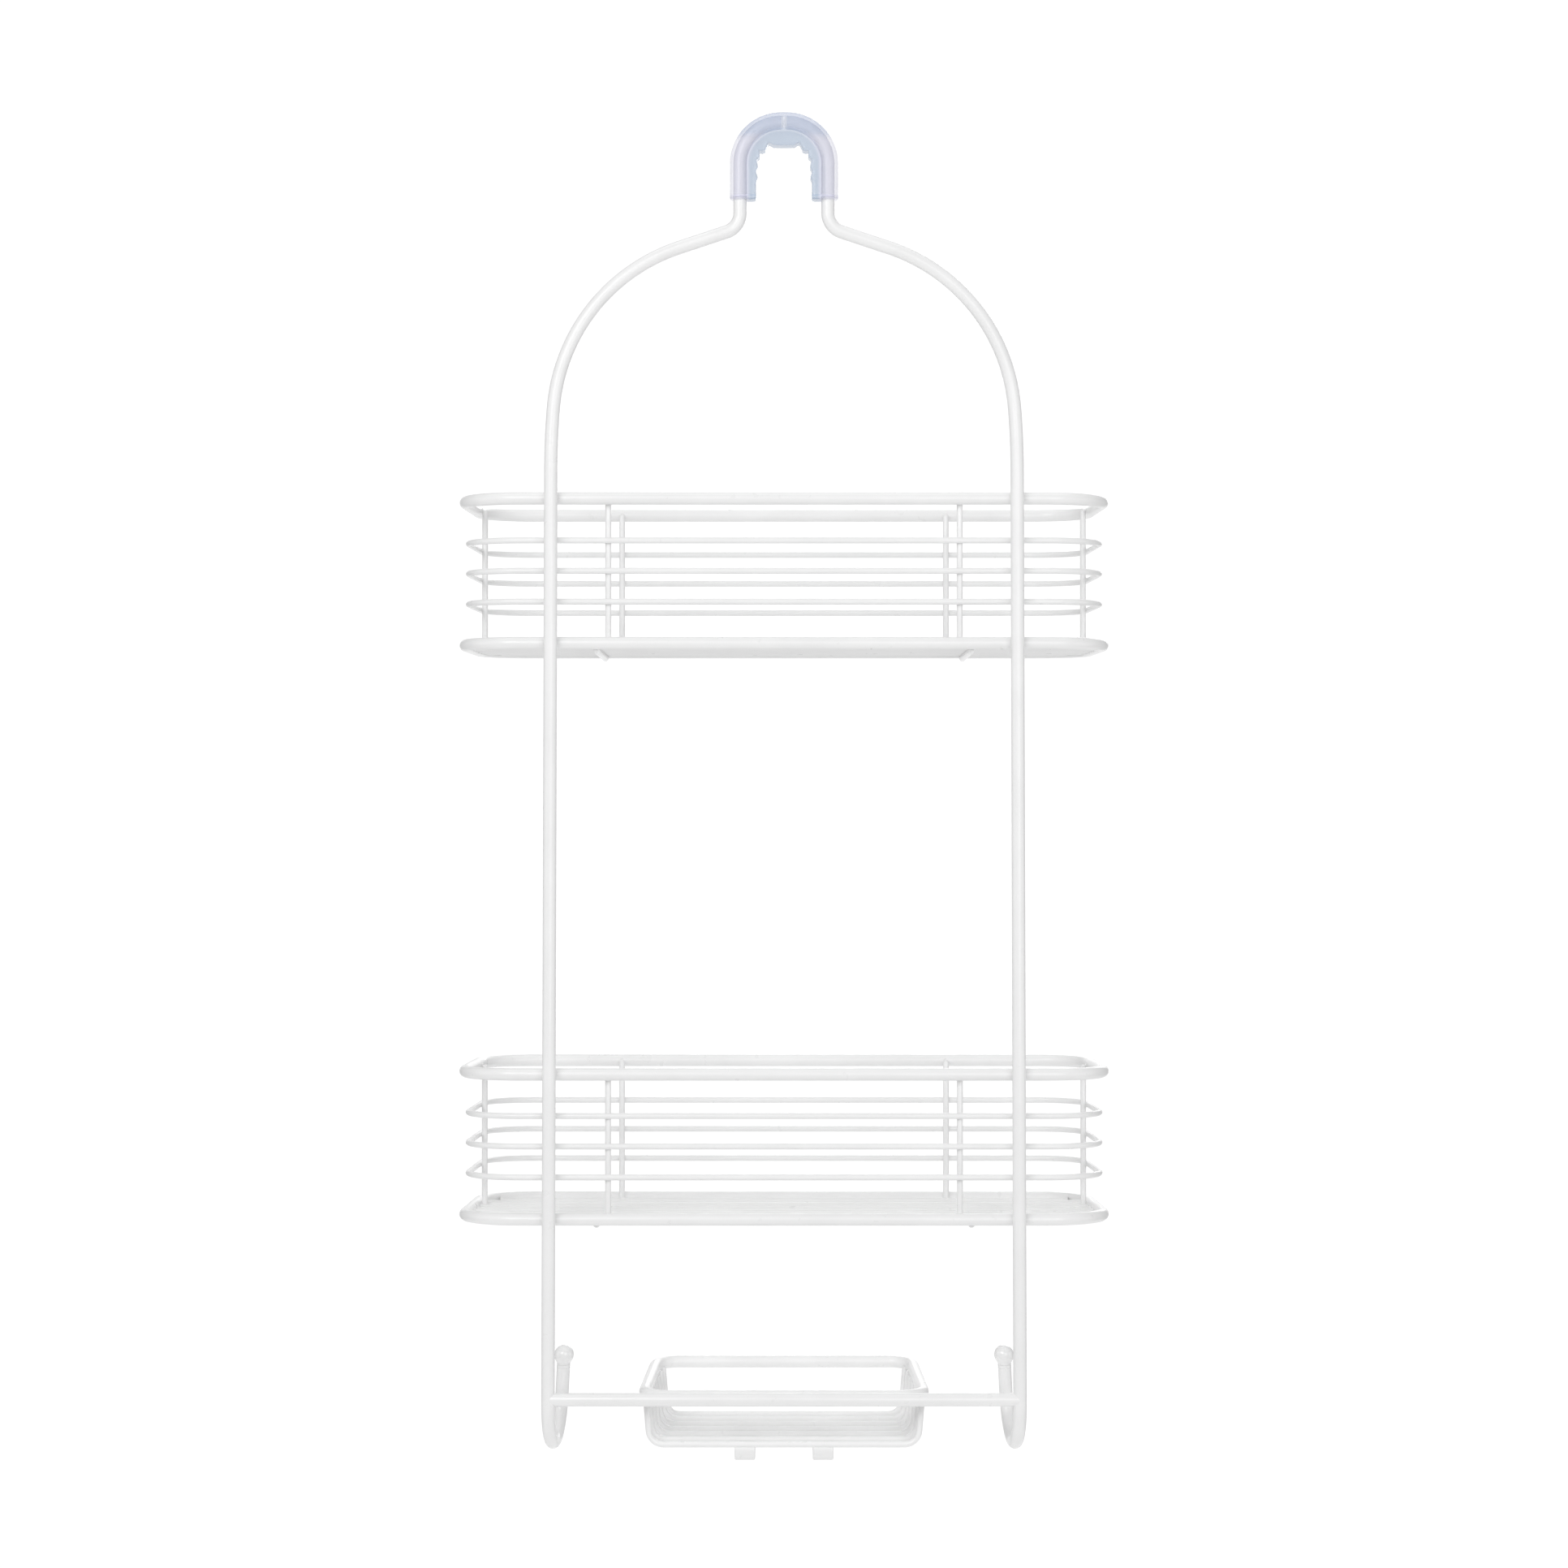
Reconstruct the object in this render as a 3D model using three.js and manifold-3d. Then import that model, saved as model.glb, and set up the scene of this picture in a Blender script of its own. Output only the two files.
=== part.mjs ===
// Over-the-arm shower caddy of welded, powder-coated steel wire.
//
// Two mirrored frame rods meet inside a soft sleeve at the top, where the caddy hangs over a shower arm.
// Below it they spread into shoulders, run straight down behind two identical baskets and end in J-hooks
// with ball tips. A crossbar joins the rods near the bottom and carries a small ribbed soap dish.
//
// Millimetres. +X is to the right, +Z is up, and +Y points away from the wall, towards the baskets.
// The origin is the middle of the sleeve's flat seat, the face that rests on the shower arm.
import * as THREE from 'three';
import { mergeVertices } from 'three/addons/utils/BufferGeometryUtils.js';
import Module from 'manifold-3d';

const wasm = await Module();
wasm.setup();

// ---------------------------------------------------------------- driving dimensions

// Wire sizes.
const ROD_R = 3.15; // frame rods and crossbar
const RIM_R = 2.9; // basket rims and soap dish rim
const WIRE_R = 1.4; // rings, uprights, supports, floor wires and ribs
const THICK_SIDES = 12;
const THIN_SIDES = 8;
const CHORD_ERROR = 0.2; // how far a bend's straight steps may cut inside the true arc
const TOUCH = 0.05; // space left where two wires touch along their sides
const GAP = 0.3; // space left where a wire's cut end meets another piece

// Frame rod, seen from the front.
const ARCH_TOP_Z = 11.4; // rod centre over the seat
const ARCH_HALF = 20.65; // half the distance between the hook's two legs
const ARCH_R = 19.4; // bend at each side of the hook
const ROD_END_X = 0.9; // each rod stops this far from the middle
const NECK_Z = -37.94; // corner where a leg turns out into the shoulder
const NECK_R = 9.5;
const SHOULDER_X = 103.84; // corner of the shoulder's main bend
const SHOULDER_Z = -65.56;
const SHOULDER_R = 86.5;
const SIDE_TOP_X = 109.5; // upper end of the straight side
const SIDE_TURN_Z = -138.1; // last slight bend into the straight side
const SIDE_TURN_R = 340;
const SIDE_BOTTOM_X = 110.7; // the sides spread a little on the way down

// J-hooks.
const HOOK_CENTRE_Z = -590.9;
const HOOK_R = 20; // the bend's centreline radius
const HOOK_FRONT_X = 107.3; // the hook turns inwards, so its front leg is nearer the middle
const HOOK_LEAN = THREE.MathUtils.degToRad(2.8); // the front leg also leans towards the middle
const BALL_R = 4.75;
const BALL_Z = -572.6;
const BALL_SOCKET = 3.2; // depth of the rod's end inside the ball

// Crossbar.
const CROSSBAR_Z = -588.2;

// Grip sleeve.
const SLEEVE_R = 4.85; // soft wall round the rod
const SLEEVE_BORE_R = ROD_R + GAP;
const SLEEVE_BOTTOM_Z = -25.2;
const SLEEVE_PAD_HALF = 5; // half the width of the toothed pad, along Y

// Baskets.
const BASKET_BACK_HALF = 153.3; // rim centreline, half the length along X at the back
const BASKET_FRONT_HALF = 149.3;
const BASKET_DEPTH = 105; // rim centreline, back to front
const BACK_CORNER_R = 28;
const FRONT_CORNER_R = 25;
const BASKET_Z = { upper: -233.1, lower: -504.4 }; // bottom rim centres
const RIM_RISE = 68.2; // bottom rim to top rim
const RING_RISES = [19.65, 34.2, 48.55];
const BACK_UPRIGHT_X = 83;
const FRONT_UPRIGHT_X = 80.5;
const END_UPRIGHT_DEPTH = 70; // from the back rim, a little past the middle
const FLOOR_WIRES = 9;
const FLOOR_DROP = 0.6; // floor wire centres below the bottom rim's centre
const SUPPORT_X = 88.5;
const SUPPORT_END_DROP = 2.6;
const SUPPORT_RAMP = 5; // length along Y of each sloping end
const SUPPORT_BEND_R = 5;

// Soap dish.
const DISH_BACK_HALF = 66.3; // rim centreline, half the length along X at the back
const DISH_FRONT_HALF = 62.3;
const DISH_DEPTH = 80;
const DISH_LIFT = 0.7; // rim centre above the crossbar's centre at the back
const DISH_SLOPE = THREE.MathUtils.degToRad(3.6); // the front is higher than the back
const DISH_CORNER_R = 12;
const DISH_RIBS = 7;
const FIRST_RIB = 7; // rim centreline to the first and last rib centres
const RIB_BACK_HALF = 65.3; // half the distance between the first rib's legs, under the rim
const RIB_FRONT_HALF = 59.2; // the same for the last rib
const RIB_TAPER = 1.9; // how far each leg leans towards the middle on the way down
const RIB_DROP = 24.5; // rim centre to the rib's flat bottom, centre to centre
const RIB_BEND_R = 7;

// Flat strap hooks under the soap dish.
const STRAP_X = 18.5;
const STRAP_WIDTH = 9.7;
const STRAP_THICK = 1.5;
const STRAP_REACH = 35;
const STRAP_DROP = 5.6;
const STRAP_BEND_R = 4.6;
const STRAP_LIP = 4; // height of the upturned end

// ---------------------------------------------------------------- colours

function powderCoat() {
  return new THREE.MeshStandardMaterial({ color: 0xf2f2f0, roughness: 0.42, metalness: 0 });
}

function softVinyl() {
  return new THREE.MeshStandardMaterial({ color: 0xa9b3cf, roughness: 0.3, metalness: 0 });
}

// ---------------------------------------------------------------- wire paths

// A path that visits exactly the given points, so that a wire has a ring of vertices only at its ends
// and round its bends.
class WirePath extends THREE.Curve {
  constructor(points) {
    super();
    this.points = points;
  }

  getPoint(t, target = new THREE.Vector3()) {
    return target.copy(this.points[Math.round(t * (this.points.length - 1))]);
  }

  getPointAt(u, target) {
    return this.getPoint(u, target);
  }

  // The direction that halves the turn at a point, which mitres the wire there.
  getTangent(t, target = new THREE.Vector3()) {
    const last = this.points.length - 1;
    const i = Math.round(t * last);
    const before = this.points[Math.max(i - 1, 0)];
    const here = this.points[i];
    const after = this.points[Math.min(i + 1, last)];
    const arriving = new THREE.Vector3().subVectors(here, before).normalize();
    const leaving = new THREE.Vector3().subVectors(after, here).normalize();
    return target.addVectors(arriving, leaving).normalize();
  }

  getTangentAt(u, target) {
    return this.getTangent(u, target);
  }
}

function corner(x, y, z, radius = 0) {
  return { at: new THREE.Vector3(x, y, z), radius };
}

// The points of the bend at one corner of a bent wire.
function bendPoints(before, here, after) {
  const arriving = new THREE.Vector3().subVectors(here.at, before.at).normalize();
  const leaving = new THREE.Vector3().subVectors(after.at, here.at).normalize();
  const turn = arriving.angleTo(leaving);
  const setback = here.radius * Math.tan(turn / 2);
  const inward = new THREE.Vector3().subVectors(leaving, arriving).normalize();
  const centre = here.at.clone().addScaledVector(inward, here.radius / Math.cos(turn / 2));
  const start = here.at.clone().addScaledVector(arriving, -setback).sub(centre);
  const steps = Math.ceil(turn / (2 * Math.acos(1 - CHORD_ERROR / here.radius)));
  const axis = new THREE.Vector3().crossVectors(arriving, leaving).normalize();
  const points = [];
  for (let i = 0; i <= steps; i += 1) {
    const spoke = start.clone().applyAxisAngle(axis, (turn * i) / steps);
    points.push(spoke.add(centre));
  }
  return points;
}

// A straight wire bent to the given radius at each corner between its two ends.
function bentPath(corners) {
  const points = [corners[0].at];
  for (let i = 1; i < corners.length - 1; i += 1) {
    points.push(...bendPoints(corners[i - 1], corners[i], corners[i + 1]));
  }
  points.push(corners[corners.length - 1].at);
  return points;
}

// A regular polygon with flats facing along both axes of the section.
function roundSection(radius, sides) {
  const points = [];
  for (let i = 0; i < sides; i += 1) {
    const angle = ((i + 0.5) * 2 * Math.PI) / sides;
    points.push(new THREE.Vector2(radius * Math.cos(angle), radius * Math.sin(angle)));
  }
  return new THREE.Shape(points);
}

function tube(points, radius, sides) {
  return new THREE.ExtrudeGeometry(roundSection(radius, sides), {
    steps: points.length - 1,
    bevelEnabled: false,
    extrudePath: new WirePath(points),
  });
}

// A wire whose path comes back to its first point. It has no ends, so a closed tube is a closed body.
function closedLoop(points, radius, sides) {
  return new THREE.TubeGeometry(new WirePath(points), points.length - 1, radius, sides, true);
}

function thickWire(points, radius) {
  return tube(points, radius, THICK_SIDES);
}

function thinWire(points) {
  return tube(points, WIRE_R, THIN_SIDES);
}

// How far from the middle a space with rounded corners reaches, at a distance inside its edge, when the
// space stays an inset clear of the edge's centreline.
function reachInside(half, cornerR, distance, inset) {
  const radius = cornerR - inset;
  const run = Math.max(radius - (distance - inset), 0);
  return half - cornerR + Math.sqrt(radius * radius - run * run);
}

// ---------------------------------------------------------------- cutting and joining

function toSolid(geometry) {
  const bare = geometry.clone();
  bare.deleteAttribute('normal');
  bare.deleteAttribute('uv');
  const merged = mergeVertices(bare, 1e-4);
  return new wasm.Manifold(new wasm.Mesh({
    numProp: 3,
    vertProperties: new Float32Array(merged.attributes.position.array),
    triVerts: new Uint32Array(merged.index.array),
  }));
}

function toGeometry(solid) {
  const mesh = solid.getMesh();
  const geometry = new THREE.BufferGeometry();
  geometry.setAttribute('position', new THREE.BufferAttribute(mesh.vertProperties, 3));
  geometry.setIndex(new THREE.BufferAttribute(mesh.triVerts, 1));
  return geometry;
}

// ---------------------------------------------------------------- the object

const caddy = new THREE.Group();

function addPiece(name, geometry, material = powderCoat()) {
  const mesh = new THREE.Mesh(geometry, material);
  mesh.name = name;
  caddy.add(mesh);
}

// How far out the front leg of a hook is at its ball.
const BALL_X = HOOK_FRONT_X - (BALL_Z - HOOK_CENTRE_Z + HOOK_R) * Math.tan(HOOK_LEAN);

// How far out the straight side of the frame is at a given height.
function sideX(z) {
  const fall = (z - SIDE_TURN_Z) / (HOOK_CENTRE_Z - HOOK_R - SIDE_TURN_Z);
  return THREE.MathUtils.lerp(SIDE_TOP_X, SIDE_BOTTOM_X, fall);
}

function addFrameWire(side, name) {
  const footZ = HOOK_CENTRE_Z - HOOK_R;
  const tipZ = BALL_Z - BALL_R + BALL_SOCKET;
  const path = bentPath([
    corner(side * ROD_END_X, 0, ARCH_TOP_Z),
    corner(side * ARCH_HALF, 0, ARCH_TOP_Z, ARCH_R),
    corner(side * ARCH_HALF, 0, NECK_Z, NECK_R),
    corner(side * SHOULDER_X, 0, SHOULDER_Z, SHOULDER_R),
    corner(side * SIDE_TOP_X, 0, SIDE_TURN_Z, SIDE_TURN_R),
    corner(side * SIDE_BOTTOM_X, 0, footZ, HOOK_R - TOUCH),
    corner(side * HOOK_FRONT_X, 2 * HOOK_R, footZ, HOOK_R - TOUCH),
    corner(side * (BALL_X + (BALL_Z - tipZ) * Math.tan(HOOK_LEAN)), 2 * HOOK_R, tipZ),
  ]);
  addPiece(name, thickWire(path, ROD_R));
}

// A ball with a round socket in its underside for the rod's end.
function addHookBall(side, name) {
  const ball = new THREE.SphereGeometry(BALL_R, 16, 12).rotateX(Math.PI / 2);
  const socketLength = 2 * BALL_SOCKET;
  const socket = new THREE.CylinderGeometry(ROD_R + GAP, ROD_R + GAP, socketLength, THICK_SIDES);
  socket.rotateX(Math.PI / 2).translate(0, 0, -BALL_R + GAP);
  const piece = toGeometry(toSolid(ball).subtract(toSolid(socket)));
  piece.rotateY(-side * HOOK_LEAN).translate(side * BALL_X, 2 * HOOK_R, BALL_Z);
  addPiece(name, piece);
}

function addCrossbar() {
  const half = sideX(CROSSBAR_Z) - ROD_R - GAP;
  const bar = thickWire(bentPath([corner(-half, 0, CROSSBAR_Z), corner(half, 0, CROSSBAR_Z)]), ROD_R);
  addPiece('crossbar', bar);
}

// ---------------------------------------------------------------- grip sleeve

// The right half of the toothed pad, from the middle of the seat, round the teeth and the lip, and back
// along the rod's centreline. Each tooth is a hollow followed by a tip.
function padHalf() {
  const shape = new THREE.Shape();
  shape.moveTo(0, 0);
  shape.lineTo(4.5, 0);
  shape.quadraticCurveTo(6.4, 0.1, 7.2, 1);
  shape.lineTo(8.2, -0.6);
  shape.quadraticCurveTo(8.4, -2.7, 9.9, -2.7);
  shape.lineTo(11.4, -2.6);
  shape.quadraticCurveTo(10.6, -5.6, 12.8, -6.9);
  shape.quadraticCurveTo(11.6, -10.4, 13.1, -12.3);
  shape.quadraticCurveTo(11.6, -15.2, 13.1, -17);
  shape.lineTo(13.1, -23.6);
  shape.quadraticCurveTo(13.1, SLEEVE_BOTTOM_Z, 15, SLEEVE_BOTTOM_Z);
  shape.lineTo(ARCH_HALF, SLEEVE_BOTTOM_Z);
  shape.lineTo(ARCH_HALF, ARCH_TOP_Z - ARCH_R);
  shape.absarc(ARCH_HALF - ARCH_R, ARCH_TOP_Z - ARCH_R, ARCH_R, 0, Math.PI / 2, false);
  shape.lineTo(0, ARCH_TOP_Z);
  return shape.getPoints(5);
}

function toothedPad() {
  const right = padHalf().slice(1, -1);
  const left = right.map((point) => new THREE.Vector2(-point.x, point.y)).reverse();
  const depth = 2 * SLEEVE_PAD_HALF;
  const pad = new THREE.ExtrudeGeometry(new THREE.Shape([...right, ...left]), {
    depth,
    bevelEnabled: false,
  });
  return pad.rotateX(Math.PI / 2).translate(0, SLEEVE_PAD_HALF, 0);
}

// The hole for one rod, open at the bottom and closed near the middle of the hook.
function rodBore(side) {
  return thickWire(bentPath([
    corner(side * (ROD_END_X - GAP), 0, ARCH_TOP_Z),
    corner(side * ARCH_HALF, 0, ARCH_TOP_Z, ARCH_R),
    corner(side * ARCH_HALF, 0, SLEEVE_BOTTOM_Z - SLEEVE_R),
  ]), SLEEVE_BORE_R);
}

function addGripSleeve() {
  const wall = thickWire(bentPath([
    corner(-ARCH_HALF, 0, SLEEVE_BOTTOM_Z),
    corner(-ARCH_HALF, 0, ARCH_TOP_Z, ARCH_R),
    corner(ARCH_HALF, 0, ARCH_TOP_Z, ARCH_R),
    corner(ARCH_HALF, 0, SLEEVE_BOTTOM_Z),
  ]), SLEEVE_R);
  const solid = toSolid(wall).add(toSolid(toothedPad()));
  const sleeve = solid.subtract(toSolid(rodBore(1))).subtract(toSolid(rodBore(-1)));
  addPiece('grip_sleeve', toGeometry(sleeve), softVinyl());
}

// ---------------------------------------------------------------- baskets

const RIM_BACK_Y = ROD_R + RIM_R + TOUCH; // the back rim touches the front of the frame rods
const RING_INSET = RIM_R - WIRE_R; // rings and rims touch the outside of the same uprights
const UPRIGHT_INSET = RIM_R + WIRE_R + TOUCH;

// Half the basket's length along X at a distance from its back, which is a little longer than its front.
function basketHalf(fromBack) {
  return THREE.MathUtils.lerp(BASKET_BACK_HALF, BASKET_FRONT_HALF, fromBack / BASKET_DEPTH);
}

// The basket's outline, from the middle of the back, round the basket and back to the middle.
function basketLoop(z, inset) {
  const backHalf = BASKET_BACK_HALF - inset;
  const frontHalf = BASKET_FRONT_HALF - inset;
  const backY = RIM_BACK_Y + inset;
  const frontY = RIM_BACK_Y + BASKET_DEPTH - inset;
  return bentPath([
    corner(0, backY, z),
    corner(backHalf, backY, z, BACK_CORNER_R - inset),
    corner(frontHalf, frontY, z, FRONT_CORNER_R - inset),
    corner(-frontHalf, frontY, z, FRONT_CORNER_R - inset),
    corner(-backHalf, backY, z, BACK_CORNER_R - inset),
    corner(0, backY, z),
  ]);
}

function addUprights(basket, floorZ) {
  const low = floorZ;
  const high = floorZ + RIM_RISE;
  const backY = RIM_BACK_Y + UPRIGHT_INSET;
  const frontY = RIM_BACK_Y + BASKET_DEPTH - UPRIGHT_INSET;
  const endX = basketHalf(END_UPRIGHT_DEPTH) - UPRIGHT_INSET;
  const endY = RIM_BACK_Y + END_UPRIGHT_DEPTH;
  const places = [
    ['back_left', -BACK_UPRIGHT_X, backY],
    ['back_right', BACK_UPRIGHT_X, backY],
    ['front_left', -FRONT_UPRIGHT_X, frontY],
    ['front_right', FRONT_UPRIGHT_X, frontY],
    ['end_left', -endX, endY],
    ['end_right', endX, endY],
  ];
  for (const [place, x, y] of places) {
    const path = bentPath([corner(x, y, low), corner(x, y, high)]);
    addPiece(`${basket}_upright_${place}`, thinWire(path));
  }
}

// Half the length of a wire that fits inside the bottom rim at a distance from the back of the basket.
function floorHalfLength(fromBack) {
  const half = basketHalf(fromBack + WIRE_R);
  const inset = RIM_R + GAP;
  const nearBack = reachInside(half, BACK_CORNER_R, fromBack - WIRE_R, inset);
  const nearFront = reachInside(half, FRONT_CORNER_R, BASKET_DEPTH - fromBack - WIRE_R, inset);
  return Math.min(nearBack, nearFront);
}

function addFloor(basket, floorZ) {
  const pitch = BASKET_DEPTH / (FLOOR_WIRES + 1);
  const wireZ = floorZ - FLOOR_DROP;
  for (let i = 1; i <= FLOOR_WIRES; i += 1) {
    const y = RIM_BACK_Y + i * pitch;
    const half = floorHalfLength(i * pitch);
    const path = bentPath([corner(-half, y, wireZ), corner(half, y, wireZ)]);
    addPiece(`${basket}_floor_wire_${i}`, thinWire(path));
  }
  const backY = RIM_BACK_Y + RIM_R + GAP;
  const frontY = RIM_BACK_Y + BASKET_DEPTH - RIM_R - GAP;
  const endZ = floorZ - SUPPORT_END_DROP;
  const supportZ = wireZ - 2 * WIRE_R - TOUCH;
  for (const [side, place] of [[-1, 'left'], [1, 'right']]) {
    const x = side * SUPPORT_X;
    const path = bentPath([
      corner(x, backY, endZ),
      corner(x, backY + SUPPORT_RAMP, supportZ, SUPPORT_BEND_R),
      corner(x, frontY - SUPPORT_RAMP, supportZ, SUPPORT_BEND_R),
      corner(x, frontY, endZ),
    ]);
    addPiece(`${basket}_support_${place}`, thinWire(path));
  }
}

function addBasket(basket, floorZ) {
  addPiece(`${basket}_rim_top`, closedLoop(basketLoop(floorZ + RIM_RISE, 0), RIM_R, THICK_SIDES));
  addPiece(`${basket}_rim_bottom`, closedLoop(basketLoop(floorZ, 0), RIM_R, THICK_SIDES));
  RING_RISES.forEach((rise, i) => {
    const loop = closedLoop(basketLoop(floorZ + rise, RING_INSET), WIRE_R, THIN_SIDES);
    addPiece(`${basket}_ring_${i + 1}`, loop);
  });
  addUprights(basket, floorZ);
  addFloor(basket, floorZ);
}

// ---------------------------------------------------------------- soap dish

// The dish is laid out level, with its back rim's centre on the X axis, then placed on the crossbar.
const DISH_BACK_Y = Math.sqrt((ROD_R + RIM_R + TOUCH) ** 2 - DISH_LIFT ** 2);
const TO_CROSSBAR = new THREE.Matrix4()
  .makeTranslation(0, DISH_BACK_Y, CROSSBAR_Z + DISH_LIFT)
  .multiply(new THREE.Matrix4().makeRotationX(DISH_SLOPE));

function addDishRim() {
  const loop = bentPath([
    corner(0, 0, 0),
    corner(DISH_BACK_HALF, 0, 0, DISH_CORNER_R),
    corner(DISH_FRONT_HALF, DISH_DEPTH, 0, DISH_CORNER_R),
    corner(-DISH_FRONT_HALF, DISH_DEPTH, 0, DISH_CORNER_R),
    corner(-DISH_BACK_HALF, 0, 0, DISH_CORNER_R),
    corner(0, 0, 0),
  ]);
  addPiece('dish_rim', closedLoop(loop, RIM_R, THICK_SIDES).applyMatrix4(TO_CROSSBAR));
}

// Wires bent into a U, whose legs end under the rim.
function addDishRibs() {
  const legTop = -RIM_R - GAP;
  for (let i = 0; i < DISH_RIBS; i += 1) {
    const along = i / (DISH_RIBS - 1);
    const y = THREE.MathUtils.lerp(FIRST_RIB, DISH_DEPTH - FIRST_RIB, along);
    const half = THREE.MathUtils.lerp(RIB_BACK_HALF, RIB_FRONT_HALF, along);
    const rib = thinWire(bentPath([
      corner(-half, y, legTop),
      corner(-half + RIB_TAPER, y, -RIB_DROP, RIB_BEND_R),
      corner(half - RIB_TAPER, y, -RIB_DROP, RIB_BEND_R),
      corner(half, y, legTop),
    ]));
    addPiece(`dish_rib_${i + 1}`, rib.applyMatrix4(TO_CROSSBAR));
  }
}

// A flat strip that hangs from the first rib, turns forward, runs level and ends in an upturned lip.
function addRazorHook(side, name) {
  const rib = new THREE.Vector3(0, FIRST_RIB, -RIB_DROP).applyMatrix4(TO_CROSSBAR);
  const topZ = rib.z - WIRE_R - GAP;
  const path = bentPath([
    corner(0, rib.y, topZ),
    corner(0, rib.y, topZ - STRAP_DROP, STRAP_BEND_R),
    corner(0, rib.y + STRAP_REACH, topZ - STRAP_DROP, STRAP_BEND_R),
    corner(0, rib.y + STRAP_REACH + STRAP_LIP / 2, topZ - STRAP_DROP + STRAP_LIP),
  ]);
  const section = new THREE.Shape([
    new THREE.Vector2(-STRAP_THICK / 2, -STRAP_WIDTH / 2),
    new THREE.Vector2(STRAP_THICK / 2, -STRAP_WIDTH / 2),
    new THREE.Vector2(STRAP_THICK / 2, STRAP_WIDTH / 2),
    new THREE.Vector2(-STRAP_THICK / 2, STRAP_WIDTH / 2),
  ]);
  const strap = new THREE.ExtrudeGeometry(section, {
    steps: path.length - 1,
    bevelEnabled: false,
    extrudePath: new WirePath(path),
  });
  addPiece(name, strap.translate(side * STRAP_X, 0, 0));
}

// ---------------------------------------------------------------- assembly

for (const [side, place] of [[-1, 'left'], [1, 'right']]) {
  addFrameWire(side, `frame_wire_${place}`);
  addHookBall(side, `hook_ball_${place}`);
  addRazorHook(side, `razor_hook_${place}`);
}
addGripSleeve();
addCrossbar();
addBasket('upper_basket', BASKET_Z.upper);
addBasket('lower_basket', BASKET_Z.lower);
addDishRim();
addDishRibs();

export default caddy;
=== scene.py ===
import math

import bpy
import numpy as np
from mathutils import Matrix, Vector


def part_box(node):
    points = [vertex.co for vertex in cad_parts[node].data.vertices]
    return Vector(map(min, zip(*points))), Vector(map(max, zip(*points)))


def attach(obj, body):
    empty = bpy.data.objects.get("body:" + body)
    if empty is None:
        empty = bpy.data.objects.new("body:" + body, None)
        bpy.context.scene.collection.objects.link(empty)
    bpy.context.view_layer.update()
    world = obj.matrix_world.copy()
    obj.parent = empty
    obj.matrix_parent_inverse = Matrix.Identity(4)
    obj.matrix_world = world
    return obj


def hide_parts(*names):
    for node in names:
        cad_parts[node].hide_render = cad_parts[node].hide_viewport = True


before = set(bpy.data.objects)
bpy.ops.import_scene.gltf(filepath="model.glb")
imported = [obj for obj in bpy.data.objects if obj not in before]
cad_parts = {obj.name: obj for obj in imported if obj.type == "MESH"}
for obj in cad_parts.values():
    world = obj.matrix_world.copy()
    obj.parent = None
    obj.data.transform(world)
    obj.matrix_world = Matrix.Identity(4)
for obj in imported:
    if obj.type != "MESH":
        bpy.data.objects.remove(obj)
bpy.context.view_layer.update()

# Over-the-arm shower caddy of welded, powder-coated wire. Metres throughout; the sizes below are in
# millimetres and pass through mm(). +X right, +Z up, +Y away from the wall. The origin is the middle of
# the sleeve's flat seat.


def mm(value):
    return value * 0.001


# Wire radii, and how finely each wire is drawn.
ROD_R = mm(3.15)
RIM_R = mm(2.9)
WIRE_R = mm(1.4)
THICK_SIDES = 32
THIN_SIDES = 20
BEND_STEP = math.radians(4)
WIDE_BEND_STEP = math.radians(2)
WIDE_BEND_R = mm(60)
CUT_EDGE = mm(0.45)  # rounding that the coating leaves on a cut end
CUT_STEPS = 5
CLEAR = 1.1  # points of a path closer to its end than this many edges give way to the end's own rings
FLARE = mm(0.8)  # fillet where a wire's end is welded to another wire
FLARE_SINK = mm(0.9)  # how far that end runs into the other wire

# Basket outline, at the rim's centreline.
BASKET_BACK_HALF = mm(153.3)
BASKET_FRONT_HALF = mm(149.3)
BACK_CORNER_R = mm(28)
FRONT_CORNER_R = mm(25)
RING_INSET = RIM_R - WIRE_R
SUPPORT_RAMP = mm(5)
SUPPORT_BEND_R = mm(5)

# The rods' centreline inside the hook.
ARCH_HALF = mm(20.65)
ARCH_TOP_Z = mm(11.4)
ARCH_R = mm(19.4)

BASKETS = ("upper_basket", "lower_basket")
RINGS = 3
FLOOR_WIRES = 9
UPRIGHTS = ("back_left", "back_right", "front_left", "front_right", "end_left", "end_right")
SIDES = {"left": -1, "right": 1}


# ---------------------------------------------------------------- materials


def new_material(name):
    material = bpy.data.materials.new(name)
    material.use_nodes = True
    nodes = material.node_tree.nodes
    return material, nodes, material.node_tree.links, nodes["Principled BSDF"]


def add_noise(nodes, links, scale, detail, roughness=0.5):
    """A noise texture in object space, in cycles per metre."""
    place = nodes.new("ShaderNodeTexCoord")
    noise = nodes.new("ShaderNodeTexNoise")
    noise.inputs["Scale"].default_value = scale
    noise.inputs["Detail"].default_value = detail
    noise.inputs["Roughness"].default_value = roughness
    links.new(place.outputs["Object"], noise.inputs["Vector"])
    return noise.outputs["Fac"]


def add_range(nodes, links, value, low, high):
    """Maps the middle of a noise to a range."""
    spread = nodes.new("ShaderNodeMapRange")
    spread.inputs["From Min"].default_value = 0.3
    spread.inputs["From Max"].default_value = 0.7
    spread.inputs["To Min"].default_value = low
    spread.inputs["To Max"].default_value = high
    links.new(value, spread.inputs["Value"])
    return spread.outputs["Result"]


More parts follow.
